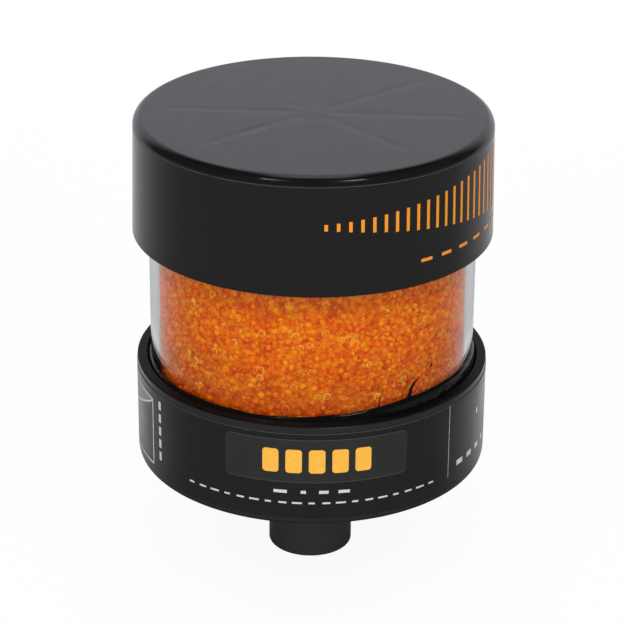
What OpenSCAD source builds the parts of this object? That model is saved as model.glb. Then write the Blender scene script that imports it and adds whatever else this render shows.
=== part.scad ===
// Disposable silica gel breather: a clear casing of orange desiccant beads, sealed between a
// moulded cap and a moulded base cup. Air comes in through the vents under the base, rises
// through the filters and the beads, and goes down the standpipe to the slip-fit stem.
// Millimetres, +Z up, origin at the middle of the stem's lower end.

/* [Stem] */
// Outside diameter of the slip-fit stem, a 1-inch pipe size
stem_od = 33.4; // [31:0.1:36]
// Length of the stem below the base
stem_length = 43.5; // [30:0.5:60]
// Wall of the stem around its air passage
stem_wall = 4.5; // [4:0.1:6]
// Round on the stem's lower edge
stem_round = 1.2; // [0.5:0.1:2]
// Step from the stem's outside to the spigot that is bonded into the base
stem_shoulder = 1.1; // [0.6:0.1:2]
// Wall of that spigot, around the standpipe
spigot_wall = 2.15; // [1.5:0.05:3]

/* [Casing] */
// Outside diameter of the clear casing
casing_od = 127; // [122:0.5:130]
// Wall of the clear casing
casing_wall = 3.2; // [2:0.1:4]
// Height of clear casing between the base rim and the cap
window_height = 53; // [35:1:120]

/* [Base cup] */
// Groove for sealant between the casing and the base cup's wall
base_groove = 1.8; // [1:0.1:4]
// Height of the base cup
base_height = 42; // [38:1:55]
// Wall of the base cup at its rim
base_wall = 3.6; // [2.5:0.1:4]
// Thickness of the base cup's floor
base_floor = 3; // [2.5:0.1:4]
// Round on the base cup's lower edge
base_low_round = 2.6; // [1:0.1:3]
// Round on the base cup's rim
base_rim_round = 0.8; // [0.4:0.1:1.1]

/* [Cap] */
// Groove for sealant between the casing and the cap's skirt, at its open edge
cap_groove = 2.9; // [2:0.1:5]
// Height of the cap
cap_height = 46; // [40:1:60]
// Wall of the cap's skirt
cap_wall = 3.4; // [2.5:0.1:4]
// Thickness of the cap's roof
cap_roof = 3; // [2.5:0.1:4]
// Draft of the cap's side, in degrees
cap_draft = 1.2; // [0.3:0.1:1.5]
// Round between the cap's side and its top
cap_round = 3.6; // [3:0.1:7]
// Turn of the cap's ribs about the axis, in degrees
cap_rib_turn = -4; // [-22:1:22]

/* [Ribs] */
// Number of radial ribs inside the cap and the base
rib_count = 8; // [6:1:10]
// Thickness of a rib
rib_wall = 2; // [1.5:0.1:2.5]
// Depth of the air space that the ribs keep open
plenum_height = 12; // [8:0.5:15]
// Height of the fins that centre the casing
fin_height = 12; // [6:0.5:14]

/* [Standpipe] */
// Wall of the standpipe
standpipe_wall = 2.5; // [2:0.1:3]
// Wall of the base's socket, around the stem's spigot
socket_wall = 4; // [3:0.1:5]
// How far that socket stops below the tops of the ribs
socket_drop = 0.5; // [0.3:0.1:1]

/* [Media] */
// Thickness of each retaining screen
screen_thickness = 1.5; // [1:0.1:2]
// Diameter of the holes in the screens
screen_hole = 6; // [4:0.5:7]
// Pitch of the holes in the screens
screen_pitch = 10; // [9:0.5:14]
// Thickness of each foam pad
foam_thickness = 8; // [5:0.5:10]
// Thickness of each particle filter
filter_thickness = 5; // [3:0.5:7]
// Diameter of the clumps of beads that stand out against the casing
clump_d = 9.4; // [8:0.1:9.4]
// Distance between those clumps
clump_pitch = 9.7; // [9.7:0.1:12]
// How far the clumps stand out
clump_relief = 2.6; // [1.5:0.1:2.6]

/* [Seals] */
// Height of sealant in the groove of the base
seal_height = 9; // [5:0.5:12]
// How far the sealant sits below the rim, at the cup's wall
seal_recess = 1.2; // [0.5:0.1:2]
// How far the sealant climbs the casing above the rim
seal_climb = 0.6; // [0.5:0.1:2.5]
// Radius of the sealant's hollow surface
seal_hollow = 6; // [4:0.5:9]

/* [Vents] */
// Diameter of each vent hole
vent_d = 10; // [7:0.5:12]
// Radius of the circle of vents
vent_circle = 44; // [38:0.5:46]
// Diameter of a vent plug's flange
plug_flange_d = 15; // [13.5:0.5:18]
// Thickness of a vent plug's flange
plug_flange = 2; // [1.5:0.1:3]
// How far a vent plug reaches past the floor
plug_reach = 1.5; // [0.5:0.1:3]
// Width of a vent plug's grip tab
plug_tab_w = 8; // [6:0.5:10]
// Thickness of a vent plug's grip tab
plug_tab_t = 2.2; // [1.5:0.1:3]
// Drop of a vent plug's grip tab
plug_tab_drop = 6; // [4.5:0.5:8]

/* [Labels] */
// Thickness of the wrap label and of the panel sticker
label_thickness = 0.15; // [0.1:0.01:0.3]
// Distance from the rim to the wrap label
label_top_gap = 3; // [2:0.1:5]
// Distance from the base's lower face to the wrap label
label_low_gap = 3.2; // [3.1:0.1:5]
// Width of the panel sticker, across the front
panel_w = 68.6; // [60:0.1:85]
// Height of the panel sticker
panel_h = 18.2; // [14:0.1:24]
// Corner radius of the panel sticker
panel_round = 2.5; // [1:0.1:4]
// Distance from the wrap label's upper edge to the panel sticker
panel_top_gap = 2.4; // [2:0.1:6]
// Turn of the panel sticker about the axis, in degrees
panel_turn = 2; // [-10:1:10]

/* [Clearances] */
// Clearance between the casing and the fins that centre it
fin_clearance = 0.2; // [0.1:0.05:0.4]
// Clearance between the casing and what it holds
media_clearance = 0.2; // [0.1:0.05:0.4]
// Clearance between the standpipe and what it passes through
pipe_clearance = 0.1; // [0.05:0.05:0.3]
// Clearance for the bond between the stem's spigot and the base
bond_clearance = 0.05; // [0.02:0.01:0.15]
// Clearance between a vent plug and its hole
plug_clearance = 0.1; // [0.05:0.05:0.2]

/* [Hidden] */
$fn = 96;

// Levels, from the bottom up
base_z = stem_length;
floor_z = base_z + base_floor;
stack_z = floor_z + plenum_height;
rim_z = base_z + base_height;
cap_z = rim_z + window_height;
top_z = cap_z + cap_height;
roof_z = top_z - cap_roof;
stack_top_z = roof_z - plenum_height;
lower_foam_z = stack_z + screen_thickness;
lower_filter_z = lower_foam_z + foam_thickness;
gel_z = lower_filter_z + filter_thickness;
upper_screen_z = stack_top_z - screen_thickness;
upper_foam_z = upper_screen_z - foam_thickness;
upper_filter_z = upper_foam_z - filter_thickness;

// Radii
casing_r = casing_od / 2;
casing_in_r = casing_r - casing_wall;
base_in_r = casing_r + base_groove;
base_r = base_in_r + base_wall;
cap_r = casing_r + cap_groove + cap_wall / cos(cap_draft);
media_r = casing_in_r - media_clearance;
stem_r = stem_od / 2;
stem_bore_r = stem_r - stem_wall;
spigot_r = stem_r - stem_shoulder;
pipe_hole_r = spigot_r - spigot_wall;
pipe_r = pipe_hole_r - pipe_clearance;
socket_hole_r = spigot_r + bond_clearance;
socket_r = socket_hole_r + socket_wall;
fin_r = casing_r + fin_clearance;
label_r = base_r + label_thickness;
vent_count = 8;
vent_turn = 180 / rib_count;

// A cut runs past the face that it opens by this much
past = 1;

// Short straight steps that make up the cap's round
round_steps = 14;

// Radius of the cap's side at height z, wider towards the open edge
function cap_side_r(z, inset = 0) = cap_r - inset / cos(cap_draft) - (z - cap_z) * tan(cap_draft);

// Middle of the circle of radius r through points a and b, on the left of the way from a to b
function arc_middle(a, b, r) =
    let (half = (b - a) / 2, away = sqrt(r * r - half * half))
    (a + b) / 2 + [-half[1], half[0]] / norm(half) * away;

// A turned ring, from two radii and two levels
module turned_ring(r_in, r_out, z_low, z_high) {
    rotate_extrude()
        translate([r_in, z_low])
            square([r_out - r_in, z_high - z_low]);
}

// Half section of a turned block with rounded outer edges
module block_section(r, z_low, z_high, low_round, high_round) {
    translate([0, z_low])
        square([r - low_round, low_round]);
    translate([0, z_low + low_round])
        square([r, z_high - z_low - low_round - high_round]);
    translate([0, z_high - high_round])
        square([r - high_round, high_round]);
    translate([r - low_round, z_low + low_round])
        circle(low_round);
    translate([r - high_round, z_high - high_round])
        circle(high_round);
}

// Half section of the cap's outside, with a round between its drafted side and its top
module cap_section() {
    middle = [cap_side_r(top_z - cap_round) - cap_round / cos(cap_draft), top_z - cap_round];
    round_points = [
        for (i = [0:round_steps])
            let (turn = cap_draft + (90 - cap_draft) * i / round_steps)
            middle + cap_round * [cos(turn), sin(turn)]
    ];
    polygon(concat([[0, cap_z], [cap_r, cap_z]], round_points, [[0, top_z]]));
}

// Radial ribs from the axis to the wall, with a fin beyond the casing at each rib's end
module ribs(turn, wall_r, z_rib, z_fin) {
    for (i = [0:rib_count - 1])
        rotate(turn + i * 360 / rib_count) {
            translate([0, -rib_wall / 2, min(z_rib[0], z_rib[1])])
                cube([wall_r, rib_wall, abs(z_rib[1] - z_rib[0])]);
            translate([fin_r, -rib_wall / 2, min(z_fin[0], z_fin[1])])
                cube([wall_r - fin_r, rib_wall, abs(z_fin[1] - z_fin[0])]);
        }
}

// Moulded base: cup, socket for the stem, ribs and vent holes
module base_cup() {
    wall_bite = base_wall / 2;
    color([0.09, 0.09, 0.095])
    difference() {
        union() {
            rotate_extrude()
                difference() {
                    block_section(base_r, base_z, rim_z, base_low_round, base_rim_round);
                    translate([0, floor_z])
                        square([base_in_r, base_height]);
                }
            ribs(0, base_in_r + wall_bite, [floor_z - past, stack_z], [stack_z - past, stack_z + fin_height]);
            translate([0, 0, floor_z - past])
                cylinder(r = socket_r, h = plenum_height + past - socket_drop);
        }
        translate([0, 0, base_z - past])
            cylinder(r = socket_hole_r, h = base_height + past);
        for (i = [1:vent_count])
            vent_place(i)
                translate([0, 0, base_z - past])
                    cylinder(d = vent_d, h = base_floor + 2 * past);
    }
}

// Slip-fit stem, with a spigot that is bonded into the base and holds the standpipe
module stem() {
    color([0.1, 0.1, 0.105])
    rotate_extrude()
        difference() {
            union() {
                block_section(stem_r, 0, base_z, stem_round, stem_round / 4);
                translate([0, stem_round])
                    square([spigot_r, stack_z - stem_round]);
            }
            translate([0, -past])
                square([stem_bore_r, floor_z + past]);
            translate([0, floor_z])
                square([pipe_hole_r, plenum_height + past]);
        }
}

// Moulded cap with ribs under its roof
module top_cap() {
    wall_bite = cap_wall / 2;
    color([0.08, 0.08, 0.085]) {
        rotate_extrude()
            difference() {
                cap_section();
                polygon([
                    [0, cap_z - past],
                    [cap_side_r(cap_z - past, cap_wall), cap_z - past],
                    [cap_side_r(roof_z, cap_wall), roof_z],
                    [0, roof_z]
                ]);
            }
        ribs(
            cap_rib_turn,
            cap_side_r(stack_top_z - fin_height, cap_wall) + wall_bite - cap_height * tan(cap_draft) / 2,
            [roof_z + past, stack_top_z],
            [stack_top_z + past, stack_top_z - fin_height]);
    }
}

// Clear tube that stands on the base's ribs, under the cap's ribs
module clear_casing() {
    color([0.9, 0.92, 0.94, 0.3])
        turned_ring(casing_in_r, casing_r, stack_z, stack_top_z);
}

// Air tube from the stem to the space under the cap
module standpipe() {
    color([0.85, 0.85, 0.83])
        turned_ring(pipe_r - standpipe_wall, pipe_r, floor_z, stack_top_z);
}

// A layer of the stack inside the casing
module media_layer(z, thickness) {
    turned_ring(pipe_hole_r, media_r, z, z + thickness);
}

// Perforated disc that holds the media
module retaining_screen(z) {
    inner = socket_r + screen_hole / 2;
    rows = floor((media_r - screen_hole - inner) / screen_pitch);
    color([0.2, 0.2, 0.21])
    difference() {
        media_layer(z, screen_thickness);
        for (row = [0:rows]) {
            row_r = inner + screen_hole / 2 + row * screen_pitch;
            holes = floor(2 * PI * row_r / screen_pitch);
            for (k = [0:holes - 1])
                rotate(k * 360 / holes)
                    translate([row_r, 0, z - past])
                        cylinder(d = screen_hole, h = screen_thickness + 2 * past);
        }
    }
}

module lower_screen() {
    retaining_screen(stack_z);
}

module upper_screen() {
    retaining_screen(upper_screen_z);
}

module lower_foam() {
    color([0.25, 0.25, 0.26])
        media_layer(lower_foam_z, foam_thickness);
}

module upper_foam() {
    color([0.25, 0.25, 0.26])
        media_layer(upper_foam_z, foam_thickness);
}

module lower_filter() {
    color([0.92, 0.92, 0.9])
        media_layer(lower_filter_z, filter_thickness);
}

module upper_filter() {
    color([0.92, 0.92, 0.9])
        media_layer(upper_filter_z, filter_thickness);
}

// Bed of desiccant beads. Cut balls on its flat sides stand for clumps of beads against the casing
module silica_gel() {
    bed_height = upper_filter_z - gel_z;
    flat_r = media_r - clump_relief;
    columns = 2 * floor(PI * flat_r / clump_pitch);
    corner_r = flat_r / cos(180 / columns);
    rows = floor((bed_height - clump_d) / clump_pitch);
    color([0.85, 0.38, 0.05]) {
        translate([0, 0, gel_z])
            linear_extrude(bed_height)
                difference() {
                    polygon([
                        for (k = [1:columns])
                            let (turn = (k + 0.5) * 360 / columns)
                            corner_r * [cos(turn), sin(turn)]
                    ]);
                    circle(pipe_hole_r);
                }
        for (k = [1:columns]) {
            column_rows = rows - k % 2;
            low = gel_z + (bed_height - column_rows * clump_pitch) / 2;
            for (row = [0:column_rows])
                rotate(k * 360 / columns)
                    translate([media_r - clump_d / 2, 0, low + row * clump_pitch])
                        clump();
        }
    }
}

// One clump: a ball with flat sides, made of three crossing bars
module clump() {
    intersection() {
        eight_sided_bar(clump_d);
        rotate([90, 0, 0])
            eight_sided_bar(1.02 * clump_d);
        rotate([0, 90, 0])
            eight_sided_bar(1.08 * clump_d);
    }
}

// An upright bar, from its width across flats
module eight_sided_bar(width) {
    rotate(22.5)
        cylinder(d = width / cos(22.5), h = 2 * width, center = true, $fn = 8);
}

// Sealant in the groove between the casing and the base's rim, hollow on top and climbing the casing
module lower_seal() {
    low = rim_z - seal_recess - seal_height;
    at_wall = [base_in_r, rim_z - seal_recess];
    at_casing = [casing_r, rim_z + seal_climb];
    color([0.03, 0.03, 0.03])
    rotate_extrude()
        difference() {
            polygon([[casing_r, low], [base_in_r, low], at_wall, at_casing]);
            translate(arc_middle(at_casing, at_wall, seal_hollow))
                circle(seal_hollow);
        }
}

// Sealant in the groove between the casing and the cap's skirt
module upper_seal() {
    low = cap_z + seal_recess;
    color([0.03, 0.03, 0.03])
    rotate_extrude()
        polygon([
            [casing_r, low],
            [cap_side_r(low, cap_wall), low],
            [cap_side_r(low + seal_height, cap_wall), low + seal_height],
            [casing_r, low + seal_height]
        ]);
}

// Printed label around the base cup
module wrap_label() {
    color([0.14, 0.14, 0.145])
        turned_ring(base_r, label_r, base_z + label_low_gap, rim_z - label_top_gap);
}

// Rounded sticker on the front of the label
module panel_sticker() {
    high = rim_z - label_top_gap - panel_top_gap;
    color([0.2, 0.2, 0.19])
    intersection() {
        turned_ring(label_r, label_r + label_thickness, high - panel_h - past, high + past);
        rotate(panel_turn)
            translate([0, 0, high - panel_h / 2])
                rotate([90, 0, 0])
                    linear_extrude(casing_od)
                        rounded_plate(panel_w, panel_h, panel_round);
    }
}

// A flat plate with rounded corners, centred
module rounded_plate(w, h, r) {
    square([w - 2 * r, h], center = true);
    square([w, h - 2 * r], center = true);
    for (x = [-1, 1], y = [-1, 1])
        translate([x * (w / 2 - r), y * (h / 2 - r)])
            circle(r);
}

// Where vent number i sits, halfway between two ribs
module vent_place(i) {
    rotate(vent_turn + (i - 1) * 360 / vent_count)
        translate([vent_circle, 0, 0])
            children();
}

// Push-in plug that closes a vent, with a flange and a tab to pull it by
module vent_plug(i) {
    flange_low = base_z - plug_flange;
    color([0.12, 0.12, 0.125])
    vent_place(i) {
        translate([0, 0, flange_low])
            cylinder(d = plug_flange_d, h = plug_flange);
        translate([0, 0, base_z - past])
            cylinder(r = vent_d / 2 - plug_clearance, h = base_floor + plug_reach + past);
        translate([0, 0, flange_low])
            rotate([90, 0, 0])
                linear_extrude(plug_tab_t, center = true)
                    plug_tab_shape();
    }
}

// Outline of a grip tab, hanging from the flange with a round end
module plug_tab_shape() {
    translate([-plug_tab_w / 2, plug_tab_w / 2 - plug_tab_drop])
        square([plug_tab_w, plug_tab_drop - plug_tab_w / 2 + plug_flange / 2]);
    translate([0, plug_tab_w / 2 - plug_tab_drop])
        circle(d = plug_tab_w);
}

base_cup();
stem();
top_cap();
clear_casing();
standpipe();
lower_screen();
lower_foam();
lower_filter();
silica_gel();
upper_filter();
upper_foam();
upper_screen();
lower_seal();
upper_seal();
wrap_label();
panel_sticker();
for (i = [1:vent_count])
    vent_plug(i);
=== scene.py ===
import math

import bpy
import numpy as np
from mathutils import Matrix, Vector


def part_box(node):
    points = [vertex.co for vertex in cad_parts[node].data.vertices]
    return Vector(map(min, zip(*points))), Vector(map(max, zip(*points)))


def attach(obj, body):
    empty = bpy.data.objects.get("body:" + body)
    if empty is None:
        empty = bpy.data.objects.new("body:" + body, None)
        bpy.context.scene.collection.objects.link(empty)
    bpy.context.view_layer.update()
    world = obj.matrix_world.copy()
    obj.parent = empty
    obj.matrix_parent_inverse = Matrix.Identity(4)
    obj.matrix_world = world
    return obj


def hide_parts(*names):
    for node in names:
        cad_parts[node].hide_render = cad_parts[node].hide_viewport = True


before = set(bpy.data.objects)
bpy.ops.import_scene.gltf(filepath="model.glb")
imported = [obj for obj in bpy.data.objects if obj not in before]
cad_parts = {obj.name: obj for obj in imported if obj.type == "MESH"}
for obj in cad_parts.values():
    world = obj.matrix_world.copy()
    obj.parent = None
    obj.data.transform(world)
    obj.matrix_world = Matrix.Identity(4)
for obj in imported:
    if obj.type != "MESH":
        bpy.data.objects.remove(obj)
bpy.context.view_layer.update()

BODY = "breather"
MM = 0.001
rng = np.random.default_rng(11)

# Sizes read from the frame
CASING_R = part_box("clear_casing")[1].x
GEL_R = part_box("silica_gel")[1].x
LABEL_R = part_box("wrap_label")[1].x
label_low, label_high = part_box("wrap_label")
panel_low, panel_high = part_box("panel_sticker")
cap_low, cap_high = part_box("top_cap")
CAP_R = cap_high.x
RIM_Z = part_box("base_cup")[1].z

# Sizes that the part's source has too
PANEL_R = LABEL_R + 0.15 * MM
PANEL_ROUND = 2.5 * MM
PANEL_TURN = math.radians(2)
CAP_DRAFT = math.radians(1.2)
CAP_ROUND = 3.6 * MM
RIB_COUNT = PLUG_COUNT = 8
RIB_TURN = math.radians(-4)

# Places of the marks on the cap's top
SCUFF = (2 * MM, -40 * MM, cap_high.z)
DENT = (-22 * MM, -18 * MM, cap_high.z)
PITS = ((-35.8 * MM, -33 * MM, cap_high.z), (-29.6 * MM, -42 * MM, cap_high.z))


# Node helpers

def put(tree, socket, value):
    """Links a socket, or sets its constant."""
    if isinstance(value, bpy.types.NodeSocket):
        tree.links.new(value, socket)
    else:
        socket.default_value = value


def add(tree, kind, inputs=None, **settings):
    """A new node with its settings and inputs."""
    made = tree.nodes.new(kind)
    for name, value in settings.items():
        setattr(made, name, value)
    for name, value in (inputs or {}).items():
        put(tree, made.inputs[name], value)
    return made


def calc(tree, operation, a, b=0.0, clamp=False):
    """A Math node's result."""
    made = add(tree, "ShaderNodeMath", {0: a, 1: b}, operation=operation, use_clamp=clamp)
    return made.outputs[0]


def times(tree, first, *others):
    """The product of several values."""
    for other in others:
        first = calc(tree, "MULTIPLY", first, other)
    return first


def fade(tree, value, start, end, low=0.0, high=1.0):
    """A value mapped smoothly from one range to another."""
    made = add(
        tree, "ShaderNodeMapRange",
        {"Value": value, "From Min": start, "From Max": end, "To Min": low, "To Max": high},
        interpolation_type="SMOOTHSTEP")
    return made.outputs["Result"]


def noise(tree, where, scale, detail=3.0, rough=0.55):
    """A noise pattern, in features a metre."""
    made = add(
        tree, "ShaderNodeTexNoise",
        {"Vector": where, "Scale": scale, "Detail": detail, "Roughness": rough})
    return made.outputs["Fac"]


def distance(tree, where, place):
    """The distance from a place."""
    made = add(tree, "ShaderNodeVectorMath", {0: where, 1: place}, operation="DISTANCE")
    return made.outputs["Value"]


def blend_colours(tree, share, first, second, mode="MIX"):
    """Two colours mixed by a share."""
    inputs = {0: share, 6: first, 7: second}
    return add(tree, "ShaderNodeMix", inputs, data_type="RGBA", blend_type=mode).outputs[2]


def multiply_colours(tree, first, second):
    """The product of two colours."""
    return blend_colours(tree, 1.0, first, second, "MULTIPLY")


def blend_values(tree, share, first, second):
    """Two values mixed by a share."""
    inputs = {0: share, 2: first, 3: second}
    return add(tree, "ShaderNodeMix", inputs, data_type="FLOAT").outputs[0]


def bump(tree, height, depth, strength):
    """A normal from a height pattern."""
    inputs = {"Height": height, "Distance": depth, "Strength": strength}
    return add(tree, "ShaderNodeBump", inputs).outputs["Normal"]


def parts_of(tree, vector):
    """The x, y and z of a vector."""
    return add(tree, "ShaderNodeSeparateXYZ", {0: vector}).outputs


def surface(name, **constants):
    """A new material, its tree, its shader and its object coordinates."""
    made = bpy.data.materials.new(name)
    made.use_nodes = True
    tree = made.node_tree
    shader = tree.nodes["Principled BSDF"]
    for key, value in constants.items():
        shader.inputs[key.replace("_", " ")].default_value = value
    where = add(tree, "ShaderNodeTexCoord").outputs["Object"]
    return made, tree, shader, where


def grey(value, blue=0.0):
    """A linear grey, a little cool or warm."""
    return (value, value, value * (1 + blue), 1.0)


# Materials

USUAL = (0.3, 0.7)  # the range in which most of a noise pattern lies
SKIN_DEPTH = 0.01 * MM
DULL_TONE, DULL_ROUGH, DULL_GLOSS = 0.004, 0.48, 0.1
THIN_INK = 0.82
NO_HEIGHT = 1.0  # above everything, so that nothing is dull


def moulded_black(name, dark, light, rough, grain=900.0, gloss=0.5, dull_above=NO_HEIGHT):
    """Moulded black plastic with a fine skin and uneven gloss, duller above a height."""
    made, tree, shader, where = surface(name)
    cloud = noise(tree, where, 55.0, 4.0)
    skin = noise(tree, where, grain, 2.0)
    dull = fade(tree, parts_of(tree, where)[2], dull_above, dull_above + 0.5 * MM)
    tone = blend_colours(tree, cloud, grey(dark), grey(light, 0.03))
    put(tree, shader.inputs["Base Color"], blend_colours(tree, dull, tone, grey(DULL_TONE)))
    uneven = fade(tree, cloud, *USUAL, rough - 0.03, rough + 0.04)
    put(tree, shader.inputs["Roughness"], blend_values(tree, dull, uneven, DULL_ROUGH))
    put(tree, shader.inputs["Specular IOR Level"], blend_values(tree, dull, gloss, DULL_GLOSS))
    put(tree, shader.inputs["Normal"], bump(tree, skin, SKIN_DEPTH, 0.4))
    return made


# Marks on the cap's top: where the rib marks start and end, their half width, the depth of the
# relief, and the share of it that each mark has
MARK_START, MARK_END = (3 * MM, 9 * MM), (48 * MM, 63 * MM)
MARK_HALF = (0.2 * MM, 3.6 * MM)
RELIEF = 0.16 * MM
SINK, GATE, WAVES, PIT, SKIN = -0.55, 0.4, 0.7, -0.5, 0.03


def rib_marks(tree, x, y, reach):
    """Sink marks above the cap's ribs: lines from near the middle, the back left one faint."""
    turn = calc(tree, "SUBTRACT", calc(tree, "ARCTAN2", y, x), RIB_TURN)
    swing = calc(tree, "ABSOLUTE", calc(tree, "SINE", times(tree, turn, RIB_COUNT / 2)))
    beside = calc(tree, "DIVIDE", times(tree, swing, reach), RIB_COUNT / 2)
    along = times(tree, fade(tree, reach, *MARK_START), fade(tree, reach, *MARK_END, 1.0, 0.0))
    sink = times(tree, fade(tree, beside, *MARK_HALF, 1.0, 0.0), along)
    back_left = calc(tree, "DIVIDE", calc(tree, "SUBTRACT", y, x), reach)
    back_left = fade(tree, back_left, 1.2, 1.36)
    back_left = times(tree, back_left, fade(tree, reach, 8 * MM, 20 * MM))
    return times(tree, sink, calc(tree, "SUBTRACT", 1.0, times(tree, back_left, 0.8)))


def cap_black():
    """The cap's plastic, with the marks that its ribs, its gate and some wear left on the top."""
    made, tree, shader, where = surface("cap_black")
    x, y, z = parts_of(tree, where)
    reach = calc(tree, "ADD", times(tree, x, x), times(tree, y, y))
    reach = calc(tree, "SQRT", reach)
    on_top = fade(tree, z, cap_high.z - 0.5 * MM, cap_high.z - 0.1 * MM)
    dented = fade(tree, distance(tree, where, DENT), 3 * MM, 9 * MM, 2.2, 1.0)
    sink = times(tree, rib_marks(tree, x, y, reach), on_top, dented)
    pits = [fade(tree, distance(tree, where, pit), 0.3 * MM, 1.3 * MM, 1.0, 0.0) for pit in PITS]
    pitted = calc(tree, "MAXIMUM", *pits)
    gate = times(tree, fade(tree, reach, 1.2 * MM, 2.2 * MM, 1.0, 0.0), on_top)
    waves = times(tree, noise(tree, where, 30.0, 2.0), on_top)
    skin = noise(tree, where, 1100.0, 2.0)
    height = times(tree, sink, SINK)
    for pattern, share in ((gate, GATE), (waves, WAVES), (pitted, PIT), (skin, SKIN)):
        height = calc(tree, "ADD", height, times(tree, pattern, share))
    put(tree, shader.inputs["Normal"], bump(tree, height, RELIEF, 0.8))
    stretched = add(
        tree, "ShaderNodeMapping",
        {"Vector": where, "Rotation": (0, 0, 0.5), "Scale": (90.0, 900.0, 90.0)})
    scratch = noise(tree, stretched.outputs[0], 1.0, 3.0)
    scuffed = fade(tree, distance(tree, where, SCUFF), 4 * MM, 16 * MM, 1.0, 0.1)
    worn = times(tree, fade(tree, scratch, 0.6, 0.7), scuffed, on_top)
    cloud = noise(tree, where, 70.0, 5.0, 0.65)
    tone = blend_colours(tree, cloud, grey(0.005), grey(0.008, 0.06))
    tone = blend_colours(tree, times(tree, worn, 0.5), tone, grey(0.05))
    put(tree, shader.inputs["Base Color"], tone)
    rough = fade(tree, cloud, *USUAL, 0.1, 0.14)
    for pattern in (on_top, worn):
        rough = calc(tree, "ADD", rough, times(tree, pattern, 0.15))
    put(tree, shader.inputs["Roughness"], rough)
    return made


def film(name, dark, light, rough):
    """Satin label film, a little cloudy."""
    made, tree, shader, where = surface(name)
    cloud = noise(tree, where, 60.0, 4.0)
    grain = noise(tree, where, 1500.0, 2.0)
    tone = blend_colours(tree, cloud, grey(dark), grey(light, 0.02))
    put(tree, shader.inputs["Base Color"], tone)
    put(tree, shader.inputs["Roughness"], fade(tree, cloud, *USUAL, rough - 0.04, rough + 0.04))
    put(tree, shader.inputs["Normal"], bump(tree, grain, SKIN_DEPTH, 0.3))
    return made


def ink(name, colour, rough=0.4):
    """Printed ink, thinner and thicker in places, and the finish of the painted edge highlights.
    """
    made, tree, shader, where = surface(name)
    cover = noise(tree, where, 700.0, 3.0)
    thin = tuple(c * THIN_INK for c in colour[:3]) + (1.0,)
    put(tree, shader.inputs["Base Color"], blend_colours(tree, cover, thin, colour))
    put(tree, shader.inputs["Roughness"], fade(tree, cover, *USUAL, rough - 0.05, rough + 0.05))
    return made


def sealant():
    """Glossy black sealant that set in soft waves."""
    made, tree, shader, where = surface(
        "sealant_black", Base_Color=grey(0.003), Specular_IOR_Level=0.3)
    waves = noise(tree, where, 110.0, 2.0)
    put(tree, shader.inputs["Roughness"], fade(tree, waves, *USUAL, 0.06, 0.14))
    put(tree, shader.inputs["Normal"], bump(tree, waves, 0.8 * MM, 0.7))
    return made


def clear_acrylic():
    """Clear acrylic that lets the lamps through to the beads."""
    made, tree, shader, where = surface(
        "clear_acrylic", Base_Color=grey(1.0), Transmission_Weight=1.0, IOR=1.49)
    haze = noise(tree, where, 300.0, 3.0)
    put(tree, shader.inputs["Roughness"], fade(tree, haze, 0.35, 0.75, 0.0, 0.03))
    ray = add(tree, "ShaderNodeLightPath").outputs["Is Shadow Ray"]
    clear = add(tree, "ShaderNodeBsdfTransparent", {"Color": grey(0.98)})
    mixed = add(tree, "ShaderNodeMixShader", {0: ray, 1: shader.outputs[0], 2: clear.outputs[0]})
    put(tree, tree.nodes["Material Output"].inputs["Surface"], mixed.outputs[0])
    return made


# Colours of the silica gel: what its mottles do to a bead's own tint, the painted shade above the
# rim, and the painted glints and ring highlights over it
MOTTLE_DARK, MOTTLE_LIGHT = (0.78, 0.5, 0.4, 1.0), (1.1, 1.65, 2.0, 1.0)
RIM_SHADE = (0.82, 0.55, 0.4, 1.0)
GOLD_GLINT, RING_HIGHLIGHT = (1.0, 0.46, 0.03, 1.0), (1.0, 0.66, 0.09, 1.0)


def painted_ring_highlights(tree, normal, x, y):
    """Share of a painted ring highlight on the side of a bead that faces the casing, weaker at its
    top.
    """
    outward = add(tree, "ShaderNodeCombineXYZ", {0: x, 1: y}).outputs[0]
    outward = add(tree, "ShaderNodeVectorMath", {0: outward}, operation="NORMALIZE").outputs[0]
    facing = add(tree, "ShaderNodeVectorMath", {0: normal, 1: outward}, operation="DOT_PRODUCT")
    facing = facing.outputs["Value"]
    ring_highlight = times(tree, fade(tree, facing, 0.38, 0.5), fade(tree, facing, 0.7, 0.84, 1.0, 0.0))
    return times(tree, ring_highlight, fade(tree, parts_of(tree, normal)[2], -0.7, 0.6, 1.0, 0.5))


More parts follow.
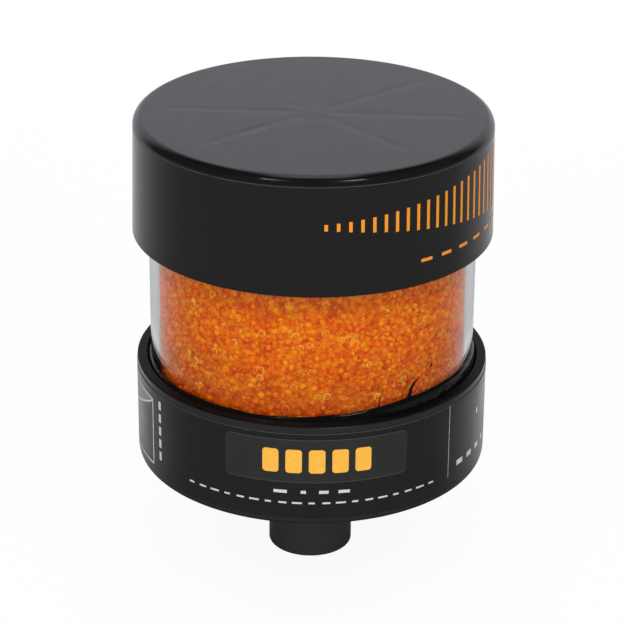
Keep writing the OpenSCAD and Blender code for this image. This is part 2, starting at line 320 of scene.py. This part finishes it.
def amber_beads(name, lift):
    """Silica gel: each bead's own tint, mottled, with painted gold glints, a painted ring
    highlight on some, and painted shade towards the bottom and just above the rim.
    """
    made, tree, shader, where = surface(
        name, Subsurface_Weight=0.75, Subsurface_Scale=3.0 * MM, Subsurface_Radius=(1.0, 0.4, 0.1),
        Specular_IOR_Level=0.06)
    bead = add(tree, "ShaderNodeVertexColor", layer_name="tint")
    x, y, z = parts_of(tree, where)
    spots = noise(tree, where, 430.0, 3.0, 0.65)
    fine = noise(tree, where, 1300.0, 3.0, 0.7)
    own = bead.outputs["Color"]
    dark = multiply_colours(tree, own, MOTTLE_DARK)
    light = multiply_colours(tree, own, MOTTLE_LIGHT)
    colour = blend_colours(tree, fade(tree, spots, 0.34, 0.66), dark, light)
    # Painted glints: small gold spots of light in the beads
    gold_glint = times(tree, fade(tree, fine, 0.6, 0.7), 0.55)
    colour = blend_colours(tree, gold_glint, colour, GOLD_GLINT)
    colour = multiply_colours(tree, colour, grey(lift))
    # Painted shade: the bed is darker towards the bottom
    shade = fade(tree, z, RIM_Z + 2 * MM, RIM_Z + 32 * MM, 0.73, 1.0)
    shade = add(tree, "ShaderNodeCombineColor", {0: shade, 1: shade, 2: shade}).outputs[0]
    colour = multiply_colours(tree, colour, shade)
    # Painted shadow of the rim and the sealant, just above them
    rim_shadow = fade(tree, z, RIM_Z + 0.5 * MM, RIM_Z + 7 * MM, 0.8, 0.0)
    rim_shaded = multiply_colours(tree, colour, RIM_SHADE)
    colour = blend_colours(tree, rim_shadow, colour, rim_shaded)
    normal = add(tree, "ShaderNodeTexCoord").outputs["Normal"]
    # Painted ring highlight, on the beads whose tint has alpha
    ring_highlight = times(tree, painted_ring_highlights(tree, normal, x, y), bead.outputs["Alpha"])
    colour = blend_colours(tree, ring_highlight, colour, RING_HIGHLIGHT)
    put(tree, shader.inputs["Base Color"], colour)
    put(tree, shader.inputs["Roughness"], fade(tree, fine, *USUAL, 0.22, 0.4))
    put(tree, shader.inputs["Normal"], bump(tree, fine, 0.05 * MM, 0.4))
    return made


def pale_fibre(name, first, second, scale):
    """Felt, foam or pale plastic that is seen only through the openings."""
    made, tree, shader, where = surface(name)
    fibre = noise(tree, where, scale, 4.0, 0.7)
    put(tree, shader.inputs["Base Color"], blend_colours(tree, fibre, first, second))
    put(tree, shader.inputs["Roughness"], fade(tree, fibre, *USUAL, 0.7, 0.95))
    put(tree, shader.inputs["Normal"], bump(tree, fibre, 0.3 * MM, 0.8))
    return made


def dress(node, material):
    """Gives a CAD node its material."""
    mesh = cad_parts[node].data
    mesh.materials.clear()
    mesh.materials.append(material)


# Mesh helpers

COLUMN = 1.5 * MM  # widest column of a bar
ROUND_COLUMN = 1.2 * MM  # widest column of a rounded patch
CORNER_STEPS = 6


def piece(name, points, faces, material, smooth=True):
    """A new mesh piece that rides on the breather."""
    mesh = bpy.data.meshes.new(name)
    mesh.from_pydata([tuple(p) for p in points], [], [tuple(f) for f in faces])
    mesh.update()
    if smooth:
        mesh.shade_smooth()
    mesh.materials.append(material)
    made = bpy.data.objects.new(name, mesh)
    bpy.context.scene.collection.objects.link(made)
    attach(made, BODY)
    return made


def on_side(turn, z, radius):
    """A point on a turned side. Turn is in radians, to the right of the front."""
    return (radius * math.sin(turn), -radius * math.cos(turn), z)


def side_patches(name, patches, radius_at, material):
    """Thin patches on a turned side. Each is a list of (turn, low z, high z) columns."""
    points, faces = [], []
    for columns in patches:
        first = len(points)
        for turn, low, high in columns:
            points.append(on_side(turn, low, radius_at(low)))
            points.append(on_side(turn, high, radius_at(high)))
        for k in range(len(columns) - 1):
            a = first + 2 * k
            faces.append((a, a + 2, a + 3, a + 1))
    return piece(name, points, faces, material)


def rounded_patch(turn, z, width, height, corner, radius):
    """Columns of a rounded rectangle centred at a turn and a height."""
    half = width / 2
    steps = [
        -half + corner * (1 - math.cos(math.pi / 2 * k / CORNER_STEPS))
        for k in range(CORNER_STEPS + 1)]
    inner = np.linspace(-half + corner, half - corner, max(2, int(width / ROUND_COLUMN)))
    across = steps + list(inner[1:-1]) + [-s for s in reversed(steps)]
    columns = []
    for s in across:
        past = max(0.0, abs(s) - (half - corner))
        drop = corner - math.sqrt(max(0.0, corner * corner - past * past))
        columns.append((turn + s / radius, z - height / 2 + drop, z + height / 2 - drop))
    return columns


def bar_patch(turn, z, width, height, radius):
    """Columns of a plain rectangle."""
    count = max(2, int(width / COLUMN) + 1)
    across = np.linspace(-width / 2, width / 2, count)
    return [(turn + s / radius, z - height / 2, z + height / 2) for s in across]


def ribbon(stroke, radius):
    """Corner points and faces of a stroke of (turn in degrees, z, half width) on a turned side."""
    flat = np.array([(math.radians(t) * radius, z) for t, z, _ in stroke])
    along = np.gradient(flat, axis=0)
    along /= np.linalg.norm(along, axis=1)[:, None]
    points = []
    for (s, z), (u, v), (_, _, half) in zip(flat, along, stroke):
        points.append(on_side((s - v * half) / radius, z + u * half, radius))
        points.append(on_side((s + v * half) / radius, z - u * half, radius))
    faces = [(2 * k, 2 * k + 1, 2 * k + 3, 2 * k + 2) for k in range(len(stroke) - 1)]
    return points, faces


def bead_template(segments, rings):
    """Points and triangles of a unit sphere, with each ring turned by half a segment."""
    points, faces = [(0, 0, 1)], []
    for i in range(1, rings):
        tilt = math.pi * i / rings
        for k in range(segments):
            turn = 2 * math.pi * (k + 0.5 * (i % 2)) / segments
            points.append((
                math.sin(tilt) * math.cos(turn), math.sin(tilt) * math.sin(turn), math.cos(tilt)))
    points.append((0, 0, -1))
    last = len(points) - 1
    for k in range(segments):
        n = (k + 1) % segments
        faces.append((0, 1 + k, 1 + n))
        for i in range(rings - 2):
            a, b = 1 + i * segments, 1 + (i + 1) * segments
            faces.append((a + k, b + k, b + n))
            faces.append((a + k, b + n, a + n))
        a = 1 + (rings - 2) * segments
        faces.append((a + k, last, a + n))
    return np.array(points, float), np.array(faces, int)


# Beads of silica gel

DEEP = np.array([0.75, 0.087, 0.0004])
BRIGHT = np.array([0.97, 0.194, 0.0008])
QUARTERS = ("front", "right", "back", "left")
BEAD_COUNT = 3500
BEAD_R = 1.3 * MM
BEAD_SPREAD = 0.24 * MM
SMALLEST, LARGEST = 0.72 * BEAD_R, 1.35 * BEAD_R
BEADS_LOW, BEADS_HIGH = RIM_Z - 3.5 * MM, cap_low.z + 6 * MM
CELL = 2.8 * BEAD_R  # beads further apart than this never touch
ROUNDS, PUSH = 45, 0.32
CROWD = 1.22  # beads are drawn larger than they were packed, so that they press together
# Beads with a painted ring highlight: their share, size and the highlight's strength, and two
# beads at given places
RINGED, RINGED_SIZE, RING_STRENGTH = 0.07, 1.35, (0.4, 1.0)
RING_PAIR = ((math.radians(35.0), RIM_Z + 14.4 * MM), (math.radians(35.8), RIM_Z + 10.2 * MM))
INSET = (0.1 * MM, 0.2 * MM)  # how far beads lie behind the wall, mean and spread
TINT, TINT_CHANGE = (0.5, 0.25), (0.92, 1.08)  # share of BRIGHT, mean and spread, and its change
SQUASH = (0.92, 1.06)
CORE_DEPTH, PIPE_GAP = 0.8 * MM, 0.2 * MM


def packed_layer(radius):
    """Beads pushed apart on an unrolled cylinder: turns, heights and bead radii."""
    around = 2 * math.pi * radius
    size = np.clip(rng.normal(BEAD_R, BEAD_SPREAD, BEAD_COUNT), SMALLEST, LARGEST)
    spot = np.stack([
        rng.uniform(0, around, BEAD_COUNT), rng.uniform(BEADS_LOW, BEADS_HIGH, BEAD_COUNT)], 1)
    columns = int(around / CELL)
    for _ in range(ROUNDS):
        order = np.floor(spot[:, 0] / CELL).astype(int)
        push = np.zeros_like(spot)
        for c in range(columns + 1):
            own = np.nonzero(order == c)[0]
            beside = ((c - 1) % (columns + 1), c, (c + 1) % (columns + 1))
            near = np.nonzero(np.isin(order, beside))[0]
            gap = spot[own][:, None] - spot[near][None]
            gap[..., 0] -= around * np.round(gap[..., 0] / around)
            far = np.sqrt((gap ** 2).sum(-1)) + 1e-9
            want = size[own][:, None] + size[near][None]
            lack = np.clip(want - far, 0, None) * (far > 1e-8)
            push[own] += (gap / far[..., None] * lack[..., None] * PUSH).sum(1)
        spot += push
        spot[:, 0] %= around
        spot[:, 1] = np.clip(spot[:, 1], BEADS_LOW, BEADS_HIGH)
    return spot[:, 0] / radius, spot[:, 1], size


def tint_points(made, colours):
    """Gives each point of a piece its tint, with alpha for a painted ring highlight."""
    tint = made.data.color_attributes.new("tint", "FLOAT_COLOR", "POINT")
    tint.data.foreach_set("color", colours.astype(np.float32).ravel())


def bead_layer(template, material):
    """The beads at the casing's wall, a piece for each quarter. The tint's alpha marks a painted
    ring highlight.
    """
    points, faces = template
    turns, heights, sizes = packed_layer(GEL_R - BEAD_R)
    # Strength of each bead's painted ring highlight, none on most
    rings = np.where(
        rng.uniform(size=BEAD_COUNT) < RINGED, rng.uniform(*RING_STRENGTH, BEAD_COUNT), 0.0)
    for turn, z in RING_PAIR:
        rings[np.argmin(np.hypot((turns - turn) * GEL_R, heights - z))] = 1.0
    sizes = np.where(rings > 0, np.maximum(sizes, BEAD_R) * RINGED_SIZE, sizes * CROWD)
    inset = np.where(rings > 0, 0.0, np.abs(rng.normal(*INSET, BEAD_COUNT)))
    reach = GEL_R - sizes - inset
    centres = np.stack([reach * np.sin(turns), -reach * np.cos(turns), heights], 1)
    share = np.clip(rng.normal(*TINT, BEAD_COUNT), 0, 1)[:, None]
    tints = (DEEP * (1 - share) + BRIGHT * share) * rng.uniform(*TINT_CHANGE, (BEAD_COUNT, 1))
    quarter = np.floor(((turns + math.pi / 4) % (2 * math.pi)) / (math.pi / 2)).astype(int)
    for q, side in enumerate(QUARTERS):
        own = np.nonzero(quarter == q)[0]
        spin = [np.linalg.qr(rng.normal(size=(3, 3)))[0] for _ in own]
        turned = np.stack([points @ m for m in spin])
        squash = rng.uniform(*SQUASH, (len(own), 1, 3))
        places = turned * squash * sizes[own][:, None, None] + centres[own][:, None]
        firsts = np.arange(len(own)) * len(points)
        corners = faces[None] + firsts[:, None, None]
        bead = piece(
            f"beads_{side}", places.reshape(-1, 3).tolist(), corners.reshape(-1, 3).tolist(),
            material)
        colours = np.concatenate([tints[own], rings[own][:, None]], 1)
        tint_points(bead, colours.repeat(len(points), 0))


def gel_core(material, count=192):
    """The rest of the bed, which fills the room between the beads at the wall."""
    low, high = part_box("silica_gel")
    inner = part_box("standpipe")[1].x + PIPE_GAP
    outer = GEL_R - CORE_DEPTH
    profile = [(inner, low.z), (outer, low.z), (outer, high.z), (inner, high.z)]
    points = [on_side(2 * math.pi * k / count, z, r) for k in range(count) for r, z in profile]
    faces = []
    for k in range(count):
        n = (k + 1) % count
        for i in range(4):
            j = (i + 1) % 4
            faces.append((4 * k + i, 4 * n + i, 4 * n + j, 4 * k + j))
    made = piece("gel_core", points, faces, material, smooth=False)
    tint_points(made, np.tile(np.append((DEEP + BRIGHT) / 2, 0.0), (len(points), 1)))
    return made


bead_layer(bead_template(segments=11, rings=7), amber_beads("amber_gel", lift=1.0))
core = gel_core(amber_beads("amber_gel_core", lift=0.95))
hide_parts("silica_gel")

# CAD nodes that stay as they are

dress("base_cup", moulded_black(
    "base_black", dark=0.018, light=0.021, rough=0.22, gloss=0.3, dull_above=RIM_Z - 0.8 * MM))
dress("stem", moulded_black("stem_black", dark=0.029, light=0.035, rough=0.34))
dress("top_cap", cap_black())
dress("wrap_label", film("label_black", dark=0.010, light=0.013, rough=0.26))
dress("panel_sticker", film("sticker_grey", dark=0.020, light=0.024, rough=0.32))
seal_finish = sealant()
dress("lower_seal", seal_finish)
dress("upper_seal", seal_finish)
dress("clear_casing", clear_acrylic())
dress("standpipe", pale_fibre("pipe_pale", grey(0.62), (0.7, 0.69, 0.65, 1), scale=90.0))
felt = pale_fibre("filter_felt", grey(0.72), (0.8, 0.79, 0.75, 1), scale=900.0)
foam = pale_fibre("foam_grey", grey(0.03), grey(0.07), scale=600.0)
screen = moulded_black("screen_black", dark=0.014, light=0.022, rough=0.42)
for level in ("lower", "upper"):
    dress(f"{level}_filter", felt)
    dress(f"{level}_foam", foam)
    dress(f"{level}_screen", screen)
plug_finish = moulded_black("plug_black", dark=0.016, light=0.024, rough=0.5, grain=1400.0)
for i in range(1, PLUG_COUNT + 1):
    dress(f"vent_plug_{i}", plug_finish)

# Prints: plain bars, blocks and lines in the photograph's colours

orange_ink = ink("ink_orange", (0.85, 0.29, 0.006, 1.0))
amber_ink = ink("ink_amber", (0.93, 0.47, 0.05, 1.0))
white_ink = ink("ink_white", (0.6, 0.62, 0.62, 1.0))
field_ink = ink("ink_field", (0.17, 0.21, 0.19, 1.0))
# Painted highlight along the lit edges of the label, the panel and the cap, in the ink finish
edge_highlight = ink("painted_edge_highlight", grey(0.06))

PRINT_LIFT = 0.06 * MM
LABEL_LIFT = 0.05 * MM
FIELD_LIFT = 0.03 * MM
RULE = 0.7  # width of the gauge's lines, in millimetres


def cap_side(z):
    """Radius of a print on the cap's side."""
    return CAP_R - (z - cap_low.z) * math.tan(CAP_DRAFT) + PRINT_LIFT


def label_side(z):
    """Radius of a print on the label."""
    return LABEL_R + LABEL_LIFT


def field_side(z):
    """Radius of the gauge's field, which lies under its lines."""
    return LABEL_R + FIELD_LIFT


def panel_side(z):
    """Radius of a print on the panel."""
    return PANEL_R + PRINT_LIFT


def cap_dash(turn, z, width, height):
    """A dash on the cap: turn in degrees, sizes in millimetres, z above the lower edge."""
    return bar_patch(math.radians(turn), cap_low.z + z * MM, width * MM, height * MM, CAP_R)


def dash(turn, z, width, height):
    """A dash on the label: turn in degrees, sizes in millimetres, z above the lower edge."""
    return bar_patch(math.radians(turn), label_low.z + z * MM, width * MM, height * MM, LABEL_R)


# Rising bars on the cap, and a row of dashes below them
BARS, CAP_DASHES = 21, 6
bars = []
for k in range(BARS):
    tall = 2.5 + 23 * (k / (BARS - 1)) ** 1.2
    bars.append(cap_dash(4 + 3.7 * k, 27, 1.3, tall))
for k in range(CAP_DASHES):
    bars.append(cap_dash(37 + 8.2 * k, 9.5, 5.2, 1.3))
side_patches("cap_level_bars", bars, cap_side, orange_ink)

# Blocks on the panel
BLOCKS, BLOCK_PITCH = 5, 8.8 * MM
BLOCK_SIZE, BLOCK_ROUND = (6.2 * MM, 9.8 * MM), 1.3 * MM
panel_mid = (panel_low.z + panel_high.z) / 2
blocks = []
for k in range(BLOCKS):
    turn = PANEL_TURN + (k - BLOCKS // 2) * BLOCK_PITCH / LABEL_R
    blocks.append(rounded_patch(turn, panel_mid, *BLOCK_SIZE, BLOCK_ROUND, LABEL_R))
side_patches("panel_blocks", blocks, panel_side, amber_ink)

# Dashes where the label has small print: a row of words, a longer row below it, a column at
# the left, a row and a mark at the right, and a thin upright rule
lines = [dash(turn, 11.3, width, 1.3) for turn, width in (
    (-9.5, 5.2), (-2.2, 2.0), (4.2, 3.6), (10.6, 4.4))]
lines += [dash(-41 + 4.6 * k, 6.6, 2.4 + 0.7 * (k * 7 % 3), 0.75) for k in range(19)]
lines += [dash(-57.4, 9.5 + 5.4 * k, 1.7, 3.6) for k in range(5)]
lines += [dash(56.5 + 6.5 * k, 9.0, 4.4 - 0.4 * k, 2.2) for k in range(4)]
lines += [dash(69, 24.5, 1.6, 2.6), dash(50, 20.3, 0.22, 31.0)]

# Gauge at the left, a frame with a sloping field
gauge_low, gauge_high = 3.6, 31.6
gauge_left, gauge_right = -104.0, -62.3
gauge_width = math.radians(gauge_right - gauge_left) * LABEL_R / MM
for turn in (gauge_right, gauge_left):
    lines.append(dash(turn, (gauge_low + gauge_high) / 2, RULE, gauge_high - gauge_low))
for z in (gauge_low, gauge_high):
    lines.append(dash((gauge_right + gauge_left) / 2, z, gauge_width, RULE))
slope, slope_line = [], []
field_top = label_low.z + gauge_high * MM
for turn in np.linspace(gauge_left, gauge_right, 22):
    drop = 17.5 * ((gauge_right - turn) / (gauge_right - gauge_left)) ** 0.8
    field_foot = field_top - drop * MM
    slope.append((math.radians(turn), field_foot, field_top))
    slope_line.append((math.radians(turn), field_top - (drop + RULE) * MM, field_foot))
lines.append(slope_line)
side_patches("label_lines", lines, label_side, white_ink)
side_patches("label_field", [slope], field_side, field_ink)

# Painted highlights along the lit edges of the label, the panel and the cap
LABEL_EDGE_LOW, LABEL_EDGE_HIGH = 0.35 * MM, 0.05 * MM  # below the label's top
CAP_EDGE_LOW, CAP_EDGE_HIGH = 0.15 * MM, 0.1 * MM  # below and above the start of the rounding
PANEL_INSET, PANEL_EDGE = 0.2 * MM, 0.3 * MM
around = np.linspace(-math.pi, math.pi, 145)
label_edge_highlight = [
    (turn, label_high.z - LABEL_EDGE_LOW, label_high.z - LABEL_EDGE_HIGH) for turn in around]
side_patches("label_edge_highlight", [label_edge_highlight], label_side, edge_highlight)

panel_size = panel_high - panel_low
panel_wide = 2 * LABEL_R * math.asin(min(1.0, panel_size.x / 2 / PANEL_R))
outline = rounded_patch(
    PANEL_TURN, panel_mid, panel_wide - PANEL_INSET, panel_size.z - PANEL_INSET, PANEL_ROUND,
    LABEL_R)
upper = [(turn, high - PANEL_EDGE, high) for turn, low, high in outline]
lower = [(turn, low, low + PANEL_EDGE) for turn, low, high in outline]
side_patches("panel_edge_highlight", [upper, lower], panel_side, edge_highlight)

cap_line = cap_high.z - CAP_ROUND
cap_edge_highlight = [(turn, cap_line - CAP_EDGE_LOW, cap_line + CAP_EDGE_HIGH) for turn in around]
side_patches("cap_edge_highlight", [cap_edge_highlight], cap_side, edge_highlight)

# Uneven bank of sealant along the casing: (turn in degrees, height above the rim in millimetres)

BANK = (
    (-180, 1.3), (-140, 1.8), (-90, 0.9), (-55, 0.75), (-30, 0.75), (-20, 0.9), (-8, 1.1),
    (1, 1.4), (6, 1.9), (11, 2.1), (17, 2.5), (22, 3.2), (28, 3.9), (42, 4.3), (50, 4.5),
    (61, 5.0), (78, 4.4), (100, 2.8), (130, 1.9), (180, 1.3))
LIP = 0.5 * MM
HOLLOW = 1.0 * MM  # how far below the rim the bank ends at the cup's wall
HOLLOW_CURVE = 1.8
RIPPLES = ((0.12, 9, 1), (0.08, 23, 0))  # height in millimetres, count around and start
CASING_CLEAR, WALL_CLEAR = 0.04 * MM, 0.02 * MM


def sealant_bank(columns=240, rows=8):
    """A bank of sealant with a sloping lip at the casing, hollow towards the cup's wall."""
    inner = CASING_R + CASING_CLEAR
    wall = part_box("lower_seal")[1].x - WALL_CLEAR
    turns = np.linspace(-180, 180, columns, endpoint=False)
    angles = np.radians(turns)
    heights = np.interp(turns, *zip(*BANK))
    for height, count, start in RIPPLES:
        heights = heights + height * np.sin(count * angles + start)
    points, faces = [], []
    for angle, height in zip(angles, RIM_Z + heights * MM):
        points.append(on_side(angle, height, inner))
        points.append(on_side(angle, height - 0.4 * LIP, inner + LIP / 2))
        for share in np.linspace(0, 1, rows - 2):
            left = (1 - share) ** HOLLOW_CURVE
            z = left * (height - 0.9 * LIP) + (1 - left) * (RIM_Z - HOLLOW)
            points.append(on_side(angle, z, inner + LIP + share * (wall - inner - LIP)))
    for k in range(columns):
        n = (k + 1) % columns
        for i in range(rows - 1):
            faces.append((k * rows + i, k * rows + i + 1, n * rows + i + 1, n * rows + i))
    piece("sealant_bank", points, faces, seal_finish)


sealant_bank()

# Sealant that was smeared on the casing, and a dark speck. Each stroke's points are (turn in
# degrees, height above the rim and half width in millimetres)

SMEAR_LIFT = 0.08 * MM
SMEAR = (
    ((34.6, 1.0, 1.6), (35.6, 4.2, 1.0), (36.1, 7.4, 0.8), (37.7, 9.8, 0.5), (39.7, 11.3, 0.12)),
    ((28.0, 1.0, 0.2), (31.5, 1.5, 0.6), (35.0, 1.8, 0.9), (39.0, 1.7, 0.7), (43.5, 1.1, 0.2)),
    ((23.2, 1.0, 0.4), (23.6, 3.6, 0.3), (23.9, 6.8, 0.2), (25.2, 9.4, 0.08)),
    ((44.9, 13.6, 0.2), (45.2, 14.3, 0.55), (45.6, 15.2, 0.25)),
)
smear_points, smear_faces = [], []
for stroke in SMEAR:
    raised = [(turn, RIM_Z + z * MM, half * MM) for turn, z, half in stroke]
    points, faces = ribbon(raised, CASING_R + SMEAR_LIFT)
    smear_faces += [tuple(i + len(smear_points) for i in face) for face in faces]
    smear_points += points
piece("sealant_smear", smear_points, smear_faces, seal_finish)

# Studio

MIDDLE = (0.0, 0.0, 0.11)
FILL_SIZE, TOP_SIZE = (0.8, 0.8), (0.22, 0.09)
TOP_POWER = 1.4
BEHIND_CLEAR = 0.35  # strength of what is seen only through clear walls
FLOOR_HALF, FLOOR_FRONT, FLOOR_BACK = 2.5, -1.5, 3.0
FLOOR_WHITE, FLOOR_GLOW = 1.04, 0.88  # the camera sees the floor glow, and the rest of it is lit
FLOOR_BEYOND, FLOOR_FAR = (0.2, 0.25), (0.33, 0.4)  # where gloss sees its next zones start
FLOOR_TINT, ROOM_TINT = (0.97, 0.97, 1.0, 1.0), (0.94, 0.92, 1.0, 1.0)


def area_light(name, place, size, power, mirrored):
    """A soft lamp, wide by high, that looks at the object. Gloss shows it if it is mirrored."""
    lamp = bpy.data.lights.new(name, "AREA")
    lamp.shape = "RECTANGLE"
    lamp.size, lamp.size_y = size
    lamp.energy = power
    made = bpy.data.objects.new(name, lamp)
    made.location = place
    way = Vector(MIDDLE) - Vector(place)
    made.rotation_euler = way.to_track_quat("-Z", "Y").to_euler()
    made.visible_glossy = mirrored
    bpy.context.scene.collection.objects.link(made)


area_light("fill_left", (-0.72, -1.0, 0.42), FILL_SIZE, 5.9, mirrored=False)
area_light("fill_right", (0.72, -1.0, 0.42), FILL_SIZE, 5.6, mirrored=False)
area_light("fill_back", (0.0, 1.1, 0.6), FILL_SIZE, 3.5, mirrored=False)
area_light("top_left", (-0.39, -0.74, 0.95), TOP_SIZE, TOP_POWER, mirrored=True)
area_light("top_right", (0.39, -0.74, 0.95), TOP_SIZE, TOP_POWER, mirrored=True)


def ray_kinds(tree):
    """Shares of rays straight from the camera, off gloss, and only through clear walls."""
    path = add(tree, "ShaderNodeLightPath")
    mirrored = calc(tree, "MINIMUM", path.outputs["Glossy Depth"], 1.0)
    mirrored = calc(tree, "MAXIMUM", mirrored, path.outputs["Is Glossy Ray"])
    through = calc(tree, "SUBTRACT", path.outputs["Is Transmission Ray"], mirrored, clamp=True)
    return path.outputs["Is Camera Ray"], mirrored, through


def floor():
    """A pale floor that keeps the shadow. Gloss sees it glow, with a painted shadow near the
    object, and darker before it.
    """
    mesh = bpy.data.meshes.new("floor")
    corners = [
        (-FLOOR_HALF, FLOOR_FRONT, 0), (FLOOR_HALF, FLOOR_FRONT, 0),
        (FLOOR_HALF, FLOOR_BACK, 0), (-FLOOR_HALF, FLOOR_BACK, 0)]
    mesh.from_pydata(corners, [], [(0, 1, 2, 3)])
    made = bpy.data.objects.new("floor", mesh)
    bpy.context.scene.collection.objects.link(made)
    finish, tree, shader, where = surface(
        "floor_white", Base_Color=grey(0.82), Roughness=0.9, Specular_IOR_Level=0.0)
    reach = add(tree, "ShaderNodeVectorMath", {0: where}, operation="LENGTH").outputs["Value"]
    backward = calc(tree, "DIVIDE", parts_of(tree, where)[1], reach)
    near = fade(tree, backward, -0.45, 0.85, 0.13, 0.86)
    # Painted shadow: to gloss the floor glows less close to the object
    near = times(tree, near, fade(tree, reach, 0.05, 0.16, 0.18, 1.0))
    beyond = fade(tree, backward, -0.1, 0.95, 0.1, 0.6)
    far = fade(tree, backward, -0.15, 1.0, 0.27, 0.68)
    glow = blend_values(tree, fade(tree, reach, *FLOOR_BEYOND), near, beyond)
    glow = blend_values(tree, fade(tree, reach, *FLOOR_FAR), glow, far)
    seen, mirrored, through = ray_kinds(tree)
    glow = blend_values(tree, through, glow, BEHIND_CLEAR)
    glow = blend_values(tree, seen, glow, FLOOR_WHITE)
    tint = blend_colours(tree, mirrored, grey(1.0), FLOOR_TINT)
    shown = add(tree, "ShaderNodeEmission", {"Color": tint, "Strength": glow})
    share = calc(tree, "MAXIMUM", mirrored, through)
    share = calc(tree, "MAXIMUM", share, times(tree, seen, FLOOR_GLOW))
    mixed = add(
        tree, "ShaderNodeMixShader", {0: share, 1: shader.outputs[0], 2: shown.outputs[0]})
    put(tree, tree.nodes["Material Output"].inputs["Surface"], mixed.outputs[0])
    mesh.materials.append(finish)


floor()


def studio_world():
    """A white room to the camera. Gloss sees a back wall, a soft box overhead and a dark front."""
    world = bpy.data.worlds.new("studio")
    bpy.context.scene.world = world
    world.use_nodes = True
    sky = world.node_tree
    sky.nodes.clear()
    way = add(sky, "ShaderNodeTexCoord").outputs["Generated"]
    x, y, z = parts_of(sky, way)
    seen, mirrored, through = ray_kinds(sky)
    wall = times(sky, fade(sky, y, 0.42, 0.8, 0.05, 0.78), fade(sky, z, 0.58, 0.86, 1.0, 0.05))
    overhead = times(sky, fade(sky, y, -0.06, 0.08), fade(sky, z, 0.6, 0.9, 0.0, 1.5))
    sideways = calc(sky, "ABSOLUTE", x)
    overhead = times(sky, overhead, fade(sky, sideways, 0.12, 0.26, 1.0, 0.0))
    room = fade(sky, z, -0.1, 0.05, 0.1, 0.45)
    strength = blend_values(sky, mirrored, room, calc(sky, "ADD", wall, overhead))
    strength = blend_values(sky, through, strength, BEHIND_CLEAR)
    strength = blend_values(sky, seen, strength, 1.0)
    tint = blend_colours(sky, mirrored, grey(1.0), ROOM_TINT)
    shown = add(sky, "ShaderNodeBackground", {"Color": tint, "Strength": strength})
    put(sky, add(sky, "ShaderNodeOutputWorld").inputs["Surface"], shown.outputs[0])


studio_world()

# Camera at the photograph's place

FOCAL_LENGTH, SENSOR_WIDTH = 144.9, 36.0
ELEVATION, ROLL = math.radians(24.43), math.radians(0.5)
AIM, AWAY = Vector((0, 0, 0.1011)), 0.989

lens = bpy.data.cameras.new("camera")
lens.lens = FOCAL_LENGTH
lens.sensor_width = SENSOR_WIDTH
lens.clip_start, lens.clip_end = 0.01, 20.0
camera = bpy.data.objects.new("camera", lens)
bpy.context.scene.collection.objects.link(camera)
back = Vector((0, -math.cos(ELEVATION), math.sin(ELEVATION)))
camera.location = AIM + back * AWAY
look = (-back).to_track_quat("-Z", "Y").to_matrix()
camera.rotation_euler = (look @ Matrix.Rotation(ROLL, 3, "Z")).to_euler()
bpy.context.scene.camera = camera

bpy.context.scene.view_settings.view_transform = "Standard"
